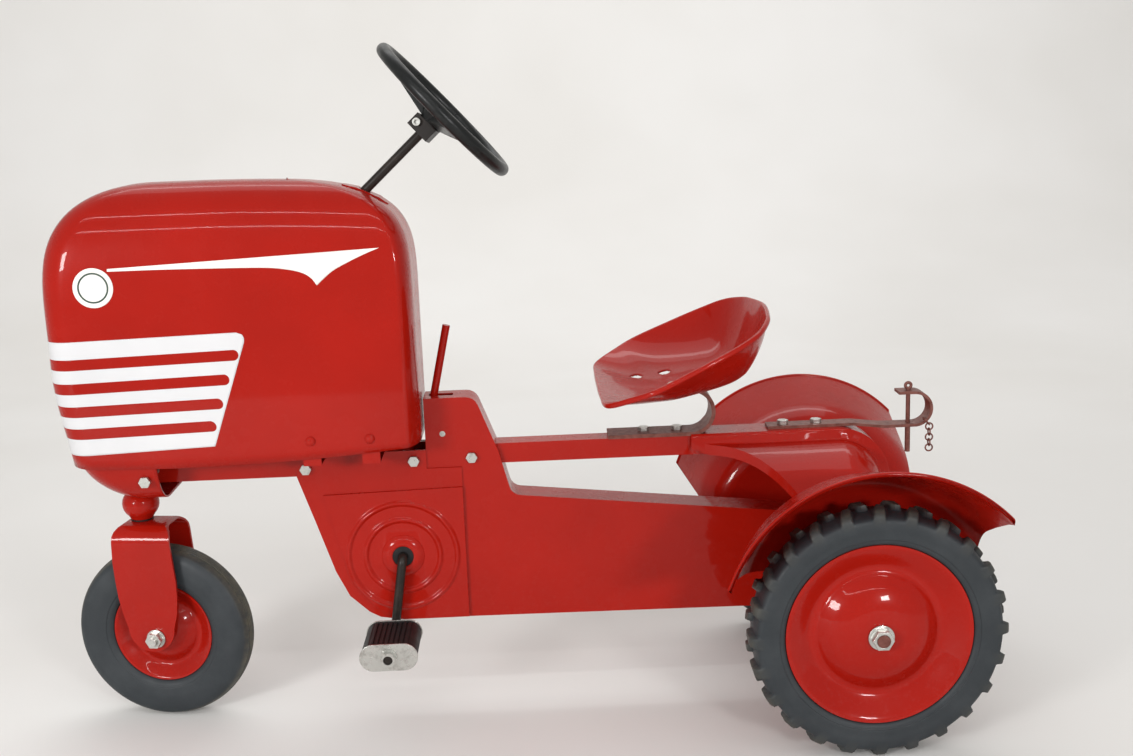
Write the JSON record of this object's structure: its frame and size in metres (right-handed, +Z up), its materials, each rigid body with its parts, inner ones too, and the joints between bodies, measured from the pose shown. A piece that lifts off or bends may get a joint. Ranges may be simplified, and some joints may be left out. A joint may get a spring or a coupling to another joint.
{
  "type": "pedal tractor",
  "caption": "Child's pedal tractor in red pressed steel with a deep closed hood, single front wheel in a fork, shell seat, lugged rear tyres and a two gear chain drive",
  "frame": {"origin": "on the floor, under the middle of the length and of the width", "axes": "+X forward to the nose, +Y to the left of the driver, +Z up"},
  "size_m": [0.9421, 0.4368, 0.6954],
  "materials": {
    "enamel": "gloss enamel",
    "zinc": "zinc plated",
    "rubber": "dark grey rubber",
    "pedal_rubber": "ribbed rubber",
    "black_steel": "black paint",
    "wheel_plastic": "moulded black",
    "nylon": "moulded",
    "bare_steel": "dull steel"
  },
  "bodies": {
    "frame": {"frame_side_left": "enamel", "frame_side_right": "enamel", "gearcase_left": "enamel", "gearcase_right": "enamel", "front_rail": "enamel", "seat_rail": "enamel", "rear_cover": "enamel", "fender_left": "enamel", "fender_right": "enamel", "hood": "enamel", "hood_brackets": "enamel", "hood_screws": "enamel", "nose_pan": "enamel", "frame_bolts": "zinc", "column_plate": "enamel", "column_bracket": "enamel", "head_tube": "enamel", "head_bushes": "nylon", "crank_bearings": "nylon", "chain_low": "bare_steel", "chain_high": "bare_steel", "shift_pins": "zinc", "axle_bearings": "nylon", "seat_spring": "bare_steel", "seat_pan": "enamel", "drawbar": "bare_steel"},
    "fork": {"front_fork": "enamel", "fork_stem": "bare_steel", "fork_nuts": "zinc", "steering_arm": "bare_steel", "front_axle": "zinc"},
    "front_wheel": {"front_hub": "zinc", "front_rim_left": "enamel", "front_rim_right": "enamel", "front_tyre": "rubber"},
    "steering": {"steering_column": "black_steel", "steering_wheel": "wheel_plastic", "wheel_clamp": "black_steel", "clamp_bolt": "zinc"},
    "crank": {"crankshaft": "black_steel", "crank_sprocket_low": "bare_steel", "pedal_nuts": "zinc"},
    "high_gear": {"crank_sprocket_high": "bare_steel"},
    "dog": {"drive_dog": "bare_steel"},
    "selector": {"shift_fork": "bare_steel"},
    "lever": {"shift_lever": "enamel"},
    "left_pedal": {"pedal_left": "pedal_rubber", "pedal_plates_left": "zinc"},
    "right_pedal": {"pedal_right": "pedal_rubber", "pedal_plates_right": "zinc"},
    "axle": {"rear_axle": "bare_steel", "axle_sprockets": "bare_steel", "axle_sleeves": "bare_steel", "hub_nuts": "zinc", "rear_rim_left": "enamel", "rear_tyre_left": "rubber"},
    "right_wheel": {"rear_rim_right": "enamel", "rear_tyre_right": "rubber"},
    "pin": {"hitch_pin": "bare_steel"},
    "hanging_chain": {"hitch_chain": "bare_steel"}
  },
  "joints": [
    {"name": "steer", "type": "hinge", "parent": "frame", "child": "fork", "pos_m": [0.39208, 0, 0.25], "axis": [0, 0, 1], "range_deg": [-25, 45]},
    {"name": "column_turn", "type": "hinge", "parent": "frame", "child": "steering", "pos_m": [0.37911, 0, 0.32819], "axis": [-0.7373, 0, 0.6756], "range_deg": [-25, 45]},
    {"name": "front_wheel_spin", "type": "hinge", "parent": "fork", "child": "front_wheel", "pos_m": [0.37727, 0.00235, 0.0945], "axis": [0.1564, 0.9877, 0], "continuous": true},
    {"name": "axle_spin", "type": "hinge", "parent": "frame", "child": "axle", "pos_m": [-0.34592, 0, 0.125], "axis": [0, 1, 0], "continuous": true},
    {"name": "crank_spin", "type": "hinge", "parent": "frame", "child": "crank", "pos_m": [0.11808, 0, 0.171], "axis": [0, 1, 0], "continuous": true},
    {"name": "high_gear_spin", "type": "hinge", "parent": "frame", "child": "high_gear", "pos_m": [0.11808, 0, 0.171], "axis": [0, 1, 0], "continuous": true},
    {"name": "right_wheel_spin", "type": "hinge", "parent": "axle", "child": "right_wheel", "pos_m": [-0.34592, -0.162, 0.125], "axis": [0, 1, 0], "continuous": true},
    {"name": "left_pedal_spin", "type": "hinge", "parent": "crank", "child": "left_pedal", "pos_m": [0.1306, 0.068, 0.09198], "axis": [0, 1, 0], "continuous": true},
    {"name": "right_pedal_spin", "type": "hinge", "parent": "crank", "child": "right_pedal", "pos_m": [0.10557, -0.068, 0.25001], "axis": [0, 1, 0], "continuous": true},
    {"name": "lever_swing", "type": "hinge", "parent": "frame", "child": "lever", "pos_m": [0.07008, 0, 0.3], "axis": [0, 1, 0], "range_deg": [-14, 0]},
    {"name": "selector_slide", "type": "slide", "parent": "frame", "child": "selector", "axis": [0, 1, 0], "range_m": [-0.0026, 0]},
    {"name": "dog_slide", "type": "slide", "parent": "crank", "child": "dog", "axis": [0, 1, 0], "range_m": [-0.0026, 0]},
    {"name": "hitch_pin_lift", "type": "slide", "parent": "frame", "child": "pin", "axis": [0, 0, 1], "range_m": [0, 0.055]},
    {"name": "hitch_chain_swing", "type": "hinge", "parent": "frame", "child": "hanging_chain", "pos_m": [-0.4364, 0.006, 0.28979], "axis": [0, 1, 0], "range_deg": [-12, 12]}
  ],
  "couplings": [
    {"joint": "column_turn", "follows": "steer", "ratio": 1},
    {"joint": "crank_spin", "follows": "axle_spin", "ratio": 1.1},
    {"joint": "high_gear_spin", "follows": "axle_spin", "ratio": 0.625},
    {"joint": "selector_slide", "follows": "lever_swing", "m_per_rad": 0.0106},
    {"joint": "dog_slide", "follows": "lever_swing", "m_per_rad": 0.0106}
  ]
}
